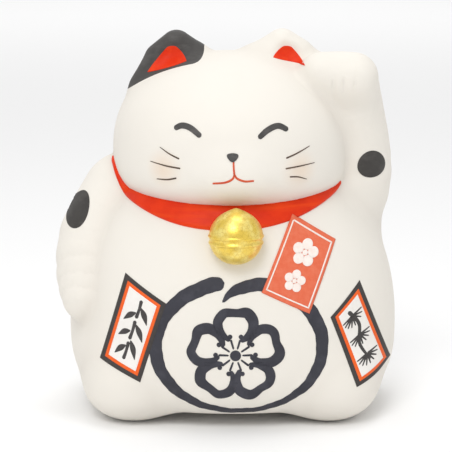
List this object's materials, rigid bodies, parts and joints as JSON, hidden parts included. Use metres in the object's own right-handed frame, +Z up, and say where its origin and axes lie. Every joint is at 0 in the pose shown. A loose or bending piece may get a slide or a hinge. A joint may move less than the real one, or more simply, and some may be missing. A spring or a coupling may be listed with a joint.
{
  "type": "beckoning cat coin bank",
  "caption": "Round seated ceramic cat with one raised paw, painted face and collar, gold bell, slot in the back of the head and a rubber stopper in the base.",
  "frame": {"origin": "on the resting plane, in the cat's middle plane under the neck, just in front of the stopper", "axes": "+Z up, -Y the way the cat looks, +X towards its raised paw"},
  "size_m": [0.1439, 0.13, 0.1599],
  "materials": {
    "white_bisque": "matte warm white, cool in the folds",
    "black_paint": "matte brushed black paint on ceramic",
    "vermilion_paint": "satin brushed red-orange paint on ceramic",
    "gold_paint": "satin gold paint on ceramic, finely crazed",
    "ink_wash": "matte blue-black brush ink on ceramic",
    "slip_paper": "pasted paper with dark and red borders",
    "card_paper": "pasted red card with a white line and sprig",
    "stopper_rubber": "soft translucent grey stopper"
  },
  "bodies": {
    "figure": {"torso_shell": "white_bisque", "head_shell": "white_bisque", "base_plate": "white_bisque", "black_ear": "black_paint", "white_ear": "white_bisque", "ear_linings": "vermilion_paint", "raised_arm": "white_bisque", "lowered_arm": "white_bisque", "left_foot": "white_bisque", "right_foot": "white_bisque", "tail": "white_bisque", "collar": "vermilion_paint", "bell": "gold_paint", "belly_ring": "ink_wash", "belly_blossom": "ink_wash", "left_slip": "slip_paper", "right_slip": "slip_paper", "luck_card": "card_paper", "eyes": "black_paint", "nose": "black_paint", "mouth": "vermilion_paint", "whiskers": "black_paint", "arm_spots": "black_paint"},
    "stopper": {"stopper": "stopper_rubber"}
  },
  "joints": [
    {"name": "stopper_pull", "type": "slide", "parent": "figure", "child": "stopper", "axis": [0, 0, -1], "range_m": [0, 0.02]}
  ]
}
